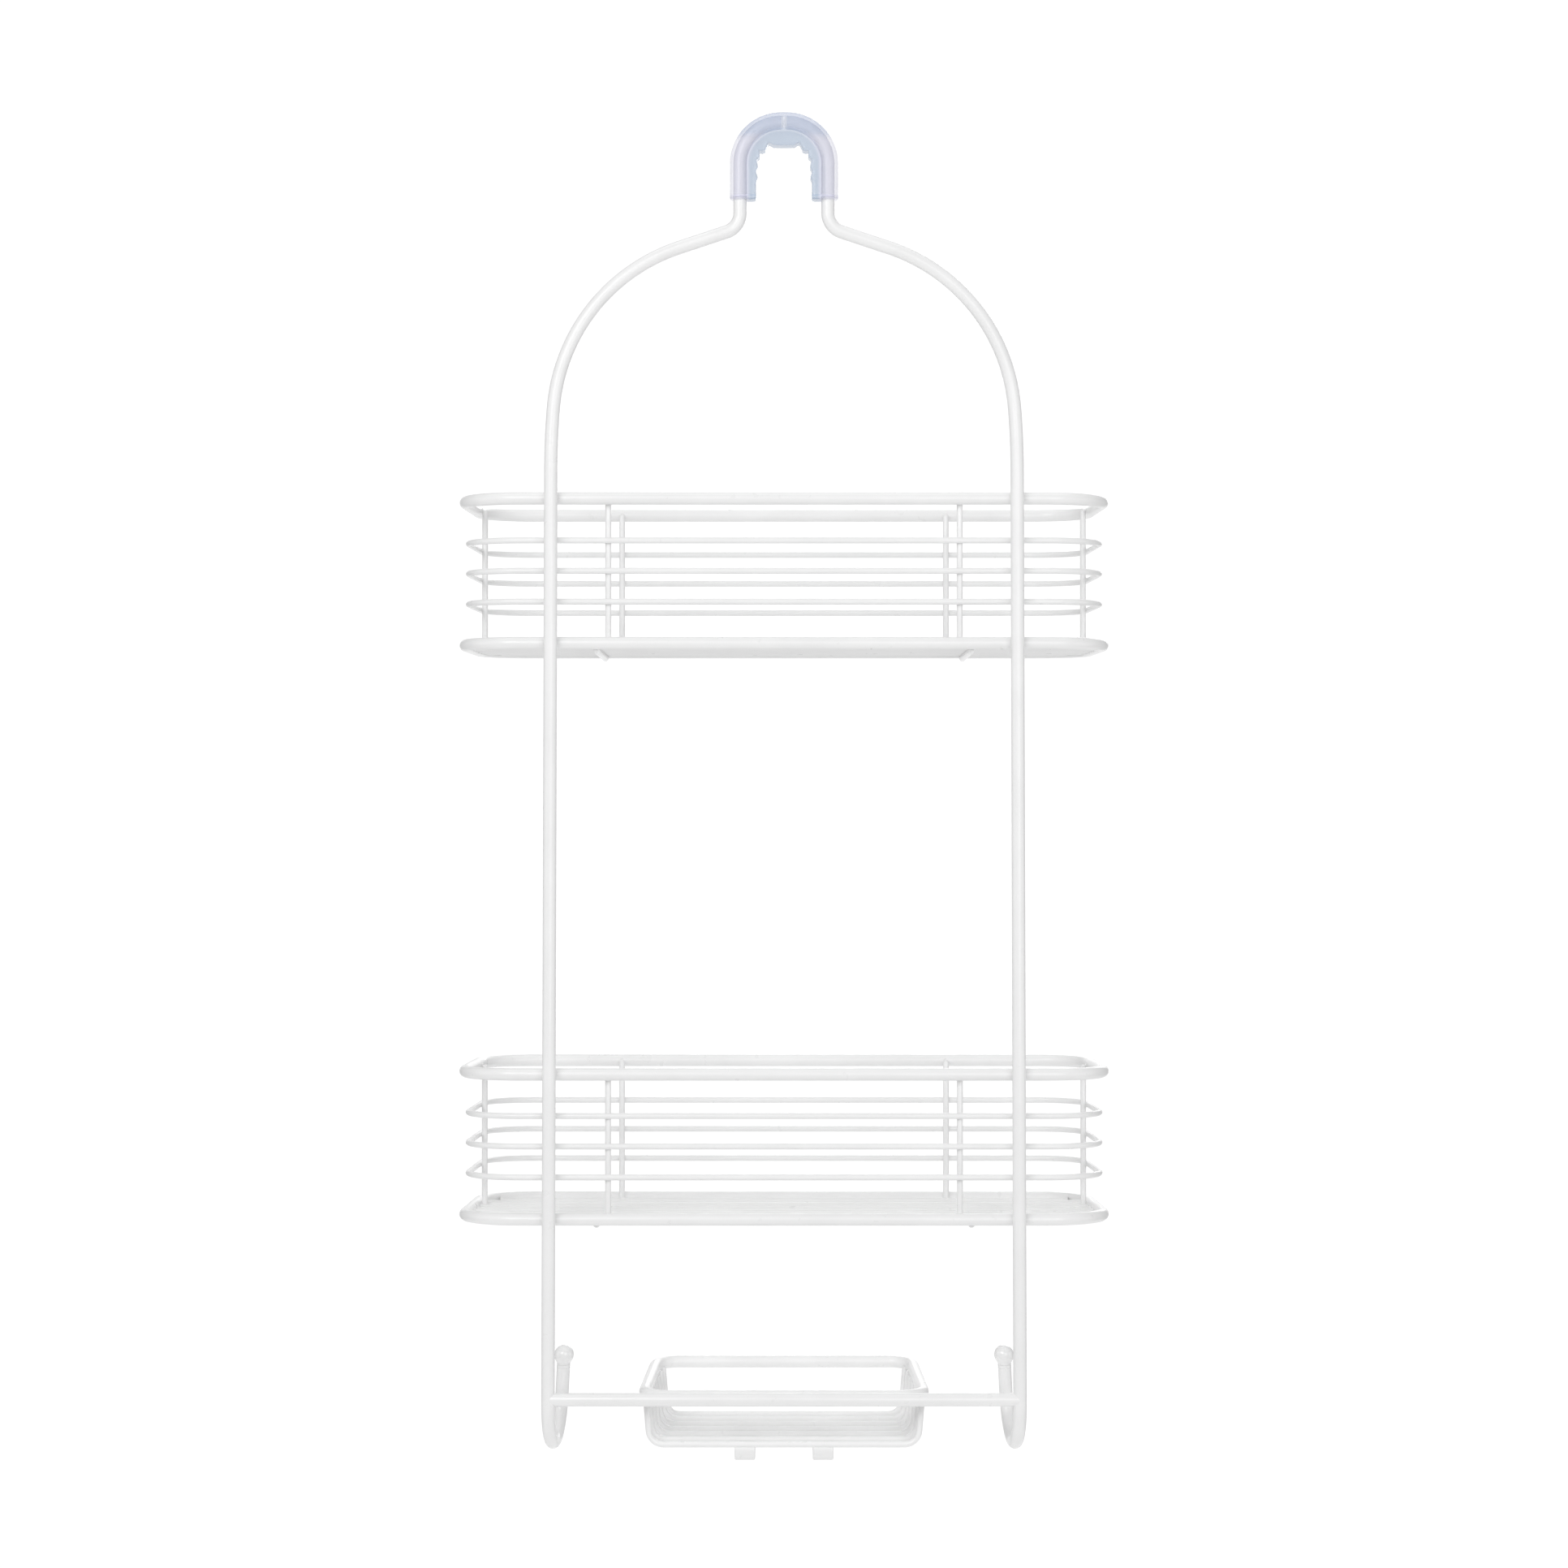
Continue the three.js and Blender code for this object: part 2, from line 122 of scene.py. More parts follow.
def add_mix(nodes, links, factor, first, second):
    """Goes from one colour to another. Each is three numbers or another mix."""
    mix = nodes.new("ShaderNodeMix")
    mix.data_type = "RGBA"
    for colour, name in ((first, "A"), (second, "B")):
        if isinstance(colour, tuple):
            mix.inputs[name].default_value = (*colour, 1)
        else:
            links.new(colour, mix.inputs[name])
    links.new(factor, mix.inputs["Factor"])
    return mix.outputs["Result"]


def add_bump(nodes, links, height, strength, distance, under=None):
    bump = nodes.new("ShaderNodeBump")
    bump.inputs["Strength"].default_value = strength
    bump.inputs["Distance"].default_value = distance
    links.new(height, bump.inputs["Height"])
    if under is not None:
        links.new(under, bump.inputs["Normal"])
    return bump.outputs["Normal"]


COAT_SHADES = ((0.87, 0.87, 0.87), (0.9, 0.9, 0.9))


def powder_coat():
    """White semi-gloss powder coat: an even colour with a fine orange-peel surface."""
    material, nodes, links, shader = new_material("powder_coat_white")
    tone = add_range(nodes, links, add_noise(nodes, links, 45, 3), 0, 1)
    links.new(add_mix(nodes, links, tone, *COAT_SHADES), shader.inputs["Base Color"])
    gloss = add_range(nodes, links, add_noise(nodes, links, 160, 4), 0.27, 0.38)
    links.new(gloss, shader.inputs["Roughness"])
    shader.inputs["Specular IOR Level"].default_value = 0.5
    shader.inputs["Coat Weight"].default_value = 0.25
    shader.inputs["Coat Roughness"].default_value = 0.12
    flow = add_bump(nodes, links, add_noise(nodes, links, 220, 2), 0.12, mm(0.03))
    peel = add_bump(nodes, links, add_noise(nodes, links, 1400, 2), 0.12, mm(0.005), flow)
    links.new(peel, shader.inputs["Normal"])
    return material


def tip_coat():
    """The ball tips: the same white, dipped thicker, so glossier and smoother."""
    material, nodes, links, shader = new_material("tip_coat_white")
    tone = add_range(nodes, links, add_noise(nodes, links, 90, 2), 0, 1)
    links.new(add_mix(nodes, links, tone, *COAT_SHADES), shader.inputs["Base Color"])
    gloss = add_range(nodes, links, add_noise(nodes, links, 300, 3), 0.16, 0.24)
    links.new(gloss, shader.inputs["Roughness"])
    shader.inputs["Coat Weight"].default_value = 0.5
    shader.inputs["Coat Roughness"].default_value = 0.06
    ripple = add_bump(nodes, links, add_noise(nodes, links, 350, 1), 0.3, mm(0.03))
    links.new(ripple, shader.inputs["Normal"])
    return material


def add_math(nodes, links, operation, first, second=0.0):
    """One step of arithmetic, on sockets or plain numbers."""
    step = nodes.new("ShaderNodeMath")
    step.operation = operation
    for value, socket in zip((first, second), step.inputs):
        if isinstance(value, float):
            socket.default_value = value
        else:
            links.new(value, socket)
    return step.outputs["Value"]


def add_ramp(nodes, links, value, stops):
    """A number that changes between stops, each a place along the value and the number there."""
    low = stops[0][0]
    high = stops[-1][0]
    spread = nodes.new("ShaderNodeMapRange")
    spread.inputs["From Min"].default_value = low
    spread.inputs["From Max"].default_value = high
    links.new(value, spread.inputs["Value"])
    node = nodes.new("ShaderNodeValToRGB")
    elements = node.color_ramp.elements
    elements.remove(elements[1])
    elements[0].position = 0
    elements[0].color = (*[stops[0][1]] * 3, 1)
    for place, number in stops[1:]:
        elements.new((place - low) / (high - low)).color = (number, number, number, 1)
    links.new(spread.outputs["Result"], node.inputs["Fac"])
    return node.outputs["Color"]


def outside_arch(nodes, links, x, z):
    """How far a point lies outside the rods' centreline, which runs round a box with rounded corners."""
    aside = add_math(nodes, links, "SUBTRACT", add_math(nodes, links, "ABSOLUTE", x), ARCH_HALF - ARCH_R)
    above = add_math(nodes, links, "SUBTRACT", z, ARCH_TOP_Z - ARCH_R)
    squares = []
    for side in (aside, above):
        side = add_math(nodes, links, "MAXIMUM", side, 0.0)
        squares.append(add_math(nodes, links, "MULTIPLY", side, side))
    reach = add_math(nodes, links, "SQRT", add_math(nodes, links, "ADD", *squares))
    return add_math(nodes, links, "SUBTRACT", reach, ARCH_R)


# The vinyl's colour over the rods' legs, over the rods at the top of the arch, and in the pad.
LEG_TINT = (0.78, 0.78, 0.93)
TOP_TINT = (0.62, 0.69, 0.87)
PAD_TINT = (0.42, 0.52, 0.67)


def tube_stops(over_rod, edge):
    """How opaque the vinyl looks from the pad, over the rod, to the outer edge. The small rise 3.7 mm
    inside the rods' centreline is painted shade: a dark line in the crease where the tube meets the pad.
    """
    return (
        (mm(-6), 0.48), (mm(-4.4), 0.48), (mm(-3.7), 0.54), (mm(-3.3), 0.45), (mm(-2.6), over_rod),
        (mm(2.9), over_rod), (mm(3.2), edge * 0.5), (mm(3.6), edge), (mm(5), edge * 1.1),
    )


def soft_vinyl():
    """Clear blue-grey vinyl: thin over the rods, so they show through, and thicker in the toothed pad."""
    material, nodes, links, shader = new_material("soft_vinyl_blue")
    split = nodes.new("ShaderNodeSeparateXYZ")
    links.new(nodes.new("ShaderNodeTexCoord").outputs["Object"], split.inputs["Vector"])
    height = split.outputs["Z"]
    outside = outside_arch(nodes, links, split.outputs["X"], height)
    leg = add_ramp(nodes, links, outside, tube_stops(0.24, 0.27))
    arch = add_ramp(nodes, links, outside, tube_stops(0.32, 0.46))
    top = add_ramp(nodes, links, height, ((mm(3.5), 0), (mm(6.5), 1)))
    extra = add_math(nodes, links, "MULTIPLY", add_math(nodes, links, "SUBTRACT", arch, leg), top)
    lip = add_ramp(nodes, links, height, (
        (mm(-26), 0), (mm(-24.2), 0), (mm(-23.8), 0.3), (mm(-23.3), 0.3), (mm(-22.9), 0), (mm(-20), 0)))
    opacity_and_crease_shade = add_math(nodes, links, "ADD", add_math(nodes, links, "ADD", leg, extra), lip)
    # The opacity is the vinyl's own cloudiness, plus a painted shade line in the crease between the tube
    # and the pad.
    links.new(opacity_and_crease_shade, shader.inputs["Alpha"])
    pad = add_ramp(nodes, links, outside, ((mm(-5), 1), (mm(-3), 0)))
    tube = add_mix(nodes, links, top, LEG_TINT, TOP_TINT)
    links.new(add_mix(nodes, links, pad, tube, PAD_TINT), shader.inputs["Base Color"])
    gloss = add_range(nodes, links, add_noise(nodes, links, 220, 4), 0.12, 0.22)
    links.new(gloss, shader.inputs["Roughness"])
    ripple = add_bump(nodes, links, add_noise(nodes, links, 180, 2), 0.2, mm(0.06))
    links.new(ripple, shader.inputs["Normal"])
    return material


COAT = powder_coat()
TIP_COAT = tip_coat()
VINYL = soft_vinyl()


# ---------------------------------------------------------------- meshes and paths


def add_piece(name, vertices, faces, material, replaced=()):
    """Makes a smooth-shaded piece of the object that rides on the one rigid body."""
    mesh = bpy.data.meshes.new(name)
    mesh.from_pydata([tuple(v) for v in vertices], [], faces)
    mesh.polygons.foreach_set("use_smooth", [True] * len(mesh.polygons))
    mesh.materials.append(material)
    mesh.update()
    piece = bpy.data.objects.new(name, mesh)
    bpy.context.scene.collection.objects.link(piece)
    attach(piece, "root")
    if replaced:
        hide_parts(*replaced)
    return piece


def add_wire(node, vertices, faces):
    return add_piece(node + "_coated", vertices, faces, COAT, (node,))


def middle_of(node):
    low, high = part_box(node)
    return np.array((low + high) / 2)


def unit(vector):
    return vector / np.linalg.norm(vector)


def corner(x, y, z, radius=0.0):
    return np.array((x, y, z)), radius


def bend_points(before, here, after):
    """Points round the bend at one corner of a bent wire."""
    arriving = unit(here[0] - before[0])
    leaving = unit(after[0] - here[0])
    turn = math.acos(float(np.clip(arriving @ leaving, -1, 1)))
    radius = here[1]
    inward = unit(leaving - arriving)
    centre = here[0] + inward * (radius / math.cos(turn / 2))
    spoke = here[0] - arriving * (radius * math.tan(turn / 2)) - centre
    step = WIDE_BEND_STEP if radius > WIDE_BEND_R else BEND_STEP
    count = max(2, math.ceil(turn / step))
    angles = [turn * i / count for i in range(count + 1)]
    return [centre + spoke * math.cos(a) + arriving * radius * math.sin(a) for a in angles]


def bent_path(corners, closed=False):
    """A wire bent to a radius at each corner. A closed path has a bend at every corner."""
    count = len(corners)
    points = []
    for i, here in enumerate(corners):
        if here[1] == 0:
            points.append(here[0])
        else:
            points.extend(bend_points(corners[i - 1], here, corners[(i + 1) % count]))
    return np.array(points)


def path_frames(points, closed, up):
    """Two directions across a path at each of its points, which don't twist along it."""
    if closed:
        before = np.roll(points, 1, axis=0)
        after = np.roll(points, -1, axis=0)
    else:
        before = np.vstack((points[:1], points[:-1]))
        after = np.vstack((points[1:], points[-1:]))
    tangents = np.zeros_like(points)
    for first, second in ((before, points), (points, after)):
        step = second - first
        length = np.linalg.norm(step, axis=1, keepdims=True)
        tangents += np.divide(step, length, out=np.zeros_like(step), where=length > 1e-9)
    tangents /= np.linalg.norm(tangents, axis=1, keepdims=True)
    across = np.zeros_like(points)
    last = np.array(up, float)
    for i, tangent in enumerate(tangents):
        last = unit(last - tangent * (last @ tangent))
        across[i] = last
    return across, np.cross(tangents, across)


def loft(rings, closed):
    """Vertices and faces of a tube through rings of equal length. Open ends get a flat lid."""
    count = len(rings)
    sides = len(rings[0])
    faces = []
    for i in range(count if closed else count - 1):
        here = i * sides
        beyond = ((i + 1) % count) * sides
        for j in range(sides):
            k = (j + 1) % sides
            faces.append((here + j, here + k, beyond + k, beyond + j))
    if not closed:
        faces.append(tuple(reversed(range(sides))))
        faces.append(tuple((count - 1) * sides + j for j in range(sides)))
    return np.vstack(rings), faces


def sweep(points, radii, sides, closed=False, up=(0, 0, 1)):
    """A round wire along a path, with its own radius at each point."""
    across, over = path_frames(points, closed, up)
    angles = np.arange(sides) * 2 * math.pi / sides
    rings = []
    for point, radius, a, b in zip(points, radii, across, over):
        rings.append(point + radius * (np.outer(np.cos(angles), a) + np.outer(np.sin(angles), b)))
    return loft(rings, closed)


def shape_end(points, radii, edge):
    """Adds rings at the start of a path: a rounded cut where edge is above zero, a fillet where below."""
    direction = unit(points[1] - points[0])
    offsets = []
    new_radii = []
    for i in range(CUT_STEPS):
        a = math.pi / 2 * i / CUT_STEPS
        offsets.append(abs(edge) * (1 - math.cos(a)))
        new_radii.append(radii[0] - edge + edge * math.sin(a))
    past = np.linalg.norm(points - points[0], axis=1) > abs(edge) * CLEAR
    added = [points[0] + direction * offset for offset in (*offsets, abs(edge))]
    return np.vstack((added, points[past])), new_radii + [radii[0]] + list(np.array(radii)[past])


def open_wire(points, radius, start, end, up=(0, 0, 1)):
    """A wire with two shaped ends. A fillet end also runs on into the wire it is welded to."""
    points = np.array(points, float)
    if start < 0:
        points[0] -= unit(points[1] - points[0]) * FLARE_SINK
    if end < 0:
        points[-1] += unit(points[-1] - points[-2]) * FLARE_SINK
    radii = [radius] * len(points)
    points, radii = shape_end(points, radii, start)
    points, radii = shape_end(points[::-1], radii[::-1], end)
    sides = THIN_SIDES if radius == WIRE_R else THICK_SIDES
    return sweep(points[::-1], radii[::-1], sides, up=up)


def straight_wire(node, axis, edge):
    """Draws a thin straight wire through the middle of its node's box."""
    low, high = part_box(node)
    start = middle_of(node)
    end = start.copy()
    start[axis] = low[axis]
    end[axis] = high[axis]
    up = (0, 1, 0) if axis == 2 else (0, 0, 1)
    add_wire(node, *open_wire([start, end], WIRE_R, edge, edge, up))


# ---------------------------------------------------------------- welds

BEAD_SIDES = 16
BEAD_WAIST = 0.78  # a bead's shape, as parts of its spread: its rim, its swell and its four lobes
BEAD_SWELL = 0.24
BEAD_LOBES = 0.16
# How far a bead reaches out of the crossing, and how far it spreads along the wires.
THIN_BEAD = (mm(0.6), mm(1.0))
ROD_BEAD = (mm(1.4), mm(2.3))
RIB_BEAD = (mm(0.8), mm(1.3))


def weld_rings(at, first, second, reach, spread):
    """A bead where two wires cross. first and second are the wires' directions."""
    first = unit(np.array(first, float))
    second = unit(np.array(second, float))
    normal = np.cross(first, second)
    rings = []
    for i in range(-3, 4):
        height = i / 3
        base = spread * (BEAD_WAIST + BEAD_SWELL * (1 - abs(height)) ** 2)
        lobe = spread * BEAD_LOBES * (1 - abs(height))
        ring = []
        for j in range(BEAD_SIDES):
            a = 2 * math.pi * j / BEAD_SIDES
            radius = base + lobe * math.cos(4 * a)
            spoke = math.cos(a) * first + math.sin(a) * second
            ring.append(at + radius * spoke + normal * reach * height)
        rings.append(np.array(ring))
    return rings


def seam_rings(middle, length, radius):
    """A slim bead along X, where two wires lie side by side."""
    angles = np.arange(BEAD_SIDES) * 2 * math.pi / BEAD_SIDES
    rings = []
    for i in range(1, 12):
        a = math.pi * i / 12
        r = radius * math.sqrt(math.sin(a))
        across = np.column_stack((np.zeros(BEAD_SIDES), r * np.cos(angles), r * np.sin(angles)))
        rings.append(middle + np.array((-math.cos(a) * length / 2, 0, 0)) + across)
    return rings


def add_welds(name, beads):
    """One piece that holds all the weld beads of one assembly."""
    vertices = []
    faces = []
    for rings in beads:
        bead_vertices, bead_faces = loft(rings, False)
        start = sum(len(block) for block in vertices)
        vertices.append(bead_vertices)
        faces.extend(tuple(start + i for i in face) for face in bead_faces)
    add_piece(name, np.vstack(vertices), faces, COAT)


# ---------------------------------------------------------------- frame rods

NECK_Z = mm(-37.94)
NECK_R = mm(9.5)
SHOULDER_X = mm(103.84)
SHOULDER_Z = mm(-65.56)
SHOULDER_R = mm(86.5)
SIDE_TOP_X = mm(109.5)
SIDE_TURN_Z = mm(-138.1)
SIDE_TURN_R = mm(340)
SIDE_BOTTOM_X = mm(110.7)
FOOT_Z = mm(-610.9)  # centre of the rod at the bottom of the J-hooks
HOOK_R = mm(20)
HOOK_BEND_R = HOOK_R - mm(0.05)  # the two bends of a hook almost meet at its foot
HOOK_FRONT_X = mm(107.3)
HOOK_LEAN = math.radians(2.8)  # the hook's front leg leans towards the middle
ROD_END_X = mm(0.4)  # the rods' ends are all but together inside the sleeve
ROD_END_EDGE = CUT_EDGE * 0.6
BALL_SIDES = 40
BALL_NECK_R = ROD_R + mm(0.02)
BALL_BLEND = mm(0.9)  # how widely the ball's dip coat is faired into the rod


def rod_side_x(z):
    """How far out the straight side of the frame is at a given height."""
    return SIDE_TOP_X + (SIDE_BOTTOM_X - SIDE_TOP_X) * (z - SIDE_TURN_Z) / (FOOT_Z - SIDE_TURN_Z)


def ball_centre(place):
    """The middle of a ball tip, and its radius."""
    low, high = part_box(f"hook_ball_{place}")
    radius = (high.x - low.x) / 2
    return Vector(((low.x + high.x) / 2, (low.y + high.y) / 2, high.z - radius)), radius


def add_frame_rod(place, side):
    tip, _ = ball_centre(place)
    path = bent_path([
        corner(side * ROD_END_X, 0, ARCH_TOP_Z),
        corner(side * ARCH_HALF, 0, ARCH_TOP_Z, ARCH_R),
        corner(side * ARCH_HALF, 0, NECK_Z, NECK_R),
        corner(side * SHOULDER_X, 0, SHOULDER_Z, SHOULDER_R),
        corner(side * SIDE_TOP_X, 0, SIDE_TURN_Z, SIDE_TURN_R),
        corner(side * SIDE_BOTTOM_X, 0, FOOT_Z, HOOK_BEND_R),
        corner(side * HOOK_FRONT_X, 2 * HOOK_R, FOOT_Z, HOOK_BEND_R),
        corner(tip.x, 2 * HOOK_R, tip.z),
    ])
    vertices, faces = open_wire(path, ROD_R, ROD_END_EDGE, CUT_EDGE, up=(0, 1, 0))
    add_wire(f"frame_wire_{place}", vertices, faces)


def add_crossbar():
    """Runs on to the rods' centrelines, so that its round surface merges with theirs."""
    _, y, z = middle_of("crossbar")
    reach = rod_side_x(z)
    ends = [(-reach, y, z), (reach, y, z)]
    add_wire("crossbar", *open_wire(ends, ROD_R, CUT_EDGE, CUT_EDGE))


def add_ball(place, side):
    """A ball that blends into the rod below it."""
    centre, radius = ball_centre(place)
    below = np.linspace(-1.35, -0.99, 10)
    ball = -np.cos(np.linspace(0.14, math.pi - 0.03, 40))
    angles = np.arange(BALL_SIDES) * 2 * math.pi / BALL_SIDES
    rings = []
    for h in np.concatenate((below, ball)) * radius:
        r = math.sqrt(max(radius * radius - h * h, 0))
        if h < 0:
            mix = max(BALL_BLEND - abs(r - BALL_NECK_R), 0) / BALL_BLEND
            r = max(r, BALL_NECK_R) + mix * mix * BALL_BLEND / 4
        x = centre.x - side * h * math.tan(HOOK_LEAN)
        rings.append(np.column_stack((
            x + r * np.cos(angles), centre.y + r * np.sin(angles), np.full(BALL_SIDES, centre.z + h))))
    vertices, faces = loft(rings, False)
    add_piece(f"hook_ball_{place}_tip", vertices, faces, TIP_COAT, (f"hook_ball_{place}",))


# ---------------------------------------------------------------- grip sleeve

SLEEVE_R = mm(4.85)
SLEEVE_HALF_WIDTH = mm(5.0)
SLEEVE_BORE_R = mm(3.3)
SLEEVE_EDGE = mm(1.1)
SLEEVE_LIP = mm(0.9)  # rounding of the sleeve's two ends
BORE_FLARE = 1.12  # how much wider the bores are at their mouths
BORE_MOUTH = mm(0.4)  # how deep the flare goes
BORE_RUN = mm(1)  # where a bore's evenly spaced rings start
BORE_END_R = mm(1.5)  # rounding of a bore's blind end
BORE_GAP = mm(0.25)  # how far a bore runs on past the rod's end
# Distance along the rod from the middle of the hook, and how far the pad's face stands inside the rod's
# centreline there: the seat, two large teeth round the bend, and two small ones down the leg.
PAD_FACE = (
    (0, 11.4), (1.2, 11.4), (5, 11.25), (8.7, 10.7), (12.6, 8.6), (15.9, 9.25), (18.9, 9.9), (21.1, 9.2),
    (22.2, 7.9), (26.4, 8.9), (29.9, 7.8), (33.7, 8.4), (36, 7.55), (38.7, 8.3), (40.7, 7.55), (50, 7.55),
)


def pad_face(distance):
    """The face's offset, eased between the listed points so that each tooth is rounded."""
    for (start, low), (end, high) in zip(PAD_FACE, PAD_FACE[1:]):
        if distance <= mm(end):
            t = (distance - mm(start)) / mm(end - start)
            ease = (1 - math.cos(math.pi * t)) / 2
            return mm(low + (high - low) * ease)
    return mm(PAD_FACE[-1][1])


def sleeve_section(offset, shrink):
    """Round outside, flat sides and a flat face with rounded corners. Pairs of inward and Y distances."""
    radius = SLEEVE_R - shrink
    half = SLEEVE_HALF_WIDTH - shrink
    face = offset - shrink
    edge = SLEEVE_EDGE
    section = []
    for i in range(21):
        a = math.pi / 2 + math.pi * i / 20
        section.append((radius * math.cos(a), half * math.sin(a)))
    for i in range(1, 6):
        section.append(((face - edge) * i / 6, -half))
    for i in range(6):
        a = -math.pi / 2 + math.pi / 2 * i / 5
        section.append((face - edge + edge * math.cos(a), -half + edge + edge * math.sin(a)))
    for i in range(1, 8):
        section.append((face, (half - edge) * (2 * i / 8 - 1)))
    for i in range(6):
        a = math.pi / 2 * i / 5
        section.append((face - edge + edge * math.cos(a), half - edge + edge * math.sin(a)))
    for i in range(1, 6):
        section.append(((face - edge) * (1 - i / 6), half))
    return section


def rod_place(distance):
    """A point on the rod's centreline inside the sleeve, and the direction inward from it."""
    side = 1 if distance >= 0 else -1
    run = abs(distance)
    flat = ARCH_HALF - ARCH_R
    if run <= flat:
        return np.array((side * run, 0, ARCH_TOP_Z)), np.array((0.0, 0, -1))
    turn = (run - flat) / ARCH_R
    if turn <= math.pi / 2:
        outward = np.array((side * math.sin(turn), 0, math.cos(turn)))
        return np.array((side * flat, 0, ARCH_TOP_Z - ARCH_R)) + ARCH_R * outward, -outward
    drop = run - flat - ARCH_R * math.pi / 2
    return np.array((side * ARCH_HALF, 0, ARCH_TOP_Z - ARCH_R - drop)), np.array((-side * 1.0, 0, 0))


def sleeve_ring(distance, section):
    at, inward = rod_place(distance)
    return np.array([at + u * inward + np.array((0, v, 0)) for u, v in section])


def add_sleeve():
    """One closed skin: the outside from leg to leg, then up each bore to its blind end."""
    low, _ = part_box("grip_sleeve")
    length = ARCH_HALF - ARCH_R + ARCH_R * math.pi / 2 + (ARCH_TOP_Z - ARCH_R - low.z)
    outer = np.linspace(-(length - SLEEVE_LIP), length - SLEEVE_LIP, 321)
    rings = [sleeve_ring(d, sleeve_section(pad_face(abs(d)), 0)) for d in outer]
    lip_rings = []
    for i in range(1, 7):
        a = math.pi / 2 * i / 6
        shrink = SLEEVE_LIP * (1 - math.cos(a))
        d = length - SLEEVE_LIP + SLEEVE_LIP * math.sin(a)
        lip_rings.append((d, sleeve_section(pad_face(d), shrink)))
    angles = [math.atan2(v, u) for u, v in sleeve_section(pad_face(length), 0)]
    bore = [(SLEEVE_BORE_R * math.cos(a), SLEEVE_BORE_R * math.sin(a)) for a in angles]
    mouth = [(u * BORE_FLARE, v * BORE_FLARE) for u, v in bore]
    inner = [(length, mouth), (length - BORE_MOUTH, bore)]
    blind = ROD_END_X - BORE_GAP
    inner += [(d, bore) for d in np.linspace(length - BORE_RUN, blind + BORE_END_R, 60)]
    for i in range(1, 6):
        a = math.pi / 2 * i / 6
        scale = math.cos(a)
        inner.append((blind + BORE_END_R * (1 - math.sin(a)), [(u * scale, v * scale) for u, v in bore]))
    right = [sleeve_ring(d, section) for d, section in lip_rings + inner]
    left = [sleeve_ring(-d, section) for d, section in reversed(lip_rings + inner)]
    vertices, faces = loft(left + rings + right, False)
    add_piece("grip_sleeve_vinyl", vertices, faces, VINYL, ("grip_sleeve",))


# ---------------------------------------------------------------- baskets


def loop_wire(node, radius, inset):
    """A rim or ring at its node's height: the basket's outline, or that outline moved inwards."""
    low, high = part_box(node)
    z = middle_of(node)[2]
    back = low.y + radius
    front = high.y - radius
    back_x = BASKET_BACK_HALF - inset
    front_x = BASKET_FRONT_HALF - inset
    points = bent_path([
        corner(back_x, back, z, BACK_CORNER_R - inset),
        corner(front_x, front, z, FRONT_CORNER_R - inset),
        corner(-front_x, front, z, FRONT_CORNER_R - inset),
        corner(-back_x, back, z, BACK_CORNER_R - inset),
    ], closed=True)
    sides = THIN_SIDES if radius == WIRE_R else THICK_SIDES
    add_wire(node, *sweep(points, [radius] * len(points), sides, closed=True))


def add_support(node):
    low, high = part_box(node)
    x = (low.x + high.x) / 2
    flat = WIRE_R * math.cos(math.pi / 8)  # from the centreline to a flat of the node's eight-sided wire
    path = bent_path([
        corner(x, low.y - FLARE_SINK, high.z - flat),
        corner(x, low.y + SUPPORT_RAMP, low.z + flat, SUPPORT_BEND_R),
        corner(x, high.y - SUPPORT_RAMP, low.z + flat, SUPPORT_BEND_R),
        corner(x, high.y + FLARE_SINK, high.z - flat),
    ])
    add_wire(node, *open_wire(path, WIRE_R, CUT_EDGE, CUT_EDGE))


def basket_welds(basket):
    beads = []
    loops = [f"{basket}_rim_top", f"{basket}_rim_bottom"] + [f"{basket}_ring_{i + 1}" for i in range(RINGS)]
    for place in UPRIGHTS:
        upright = middle_of(f"{basket}_upright_{place}")
        if place.startswith("end"):
            outward = np.array((np.sign(upright[0]), 0, 0))
        else:
            outward = np.array((0, -1.0 if place.startswith("back") else 1.0, 0))
        along = np.cross(outward, (0, 0, 1))
        for loop in loops:
            at = upright + outward * WIRE_R
            at[2] = middle_of(loop)[2]
            beads.append(weld_rings(at, along, (0, 0, 1), *THIN_BEAD))
    for i in range(FLOOR_WIRES):
        wire = middle_of(f"{basket}_floor_wire_{i + 1}")
        for place in SIDES:
            support = middle_of(f"{basket}_support_{place}")
            at = np.array((support[0], wire[1], wire[2] - WIRE_R))
            beads.append(weld_rings(at, (1, 0, 0), (0, 1, 0), *THIN_BEAD))
    for rim in loops[:2]:
        z = middle_of(rim)[2]
        for side in SIDES.values():
            at = np.array((side * rod_side_x(z), ROD_R, z))
            beads.append(weld_rings(at, (1, 0, 0), (0, 0, 1), *ROD_BEAD))
    return beads


def add_basket(basket):
    for rim in ("rim_top", "rim_bottom"):
        loop_wire(f"{basket}_{rim}", RIM_R, 0)
    for i in range(RINGS):
        loop_wire(f"{basket}_ring_{i + 1}", WIRE_R, RING_INSET)
    for place in UPRIGHTS:
        straight_wire(f"{basket}_upright_{place}", 2, CUT_EDGE)
    for i in range(FLOOR_WIRES):
        straight_wire(f"{basket}_floor_wire_{i + 1}", 0, -FLARE)
    for place in SIDES:
        add_support(f"{basket}_support_{place}")
    add_welds(f"{basket}_welds", basket_welds(basket))


# ---------------------------------------------------------------- soap dish

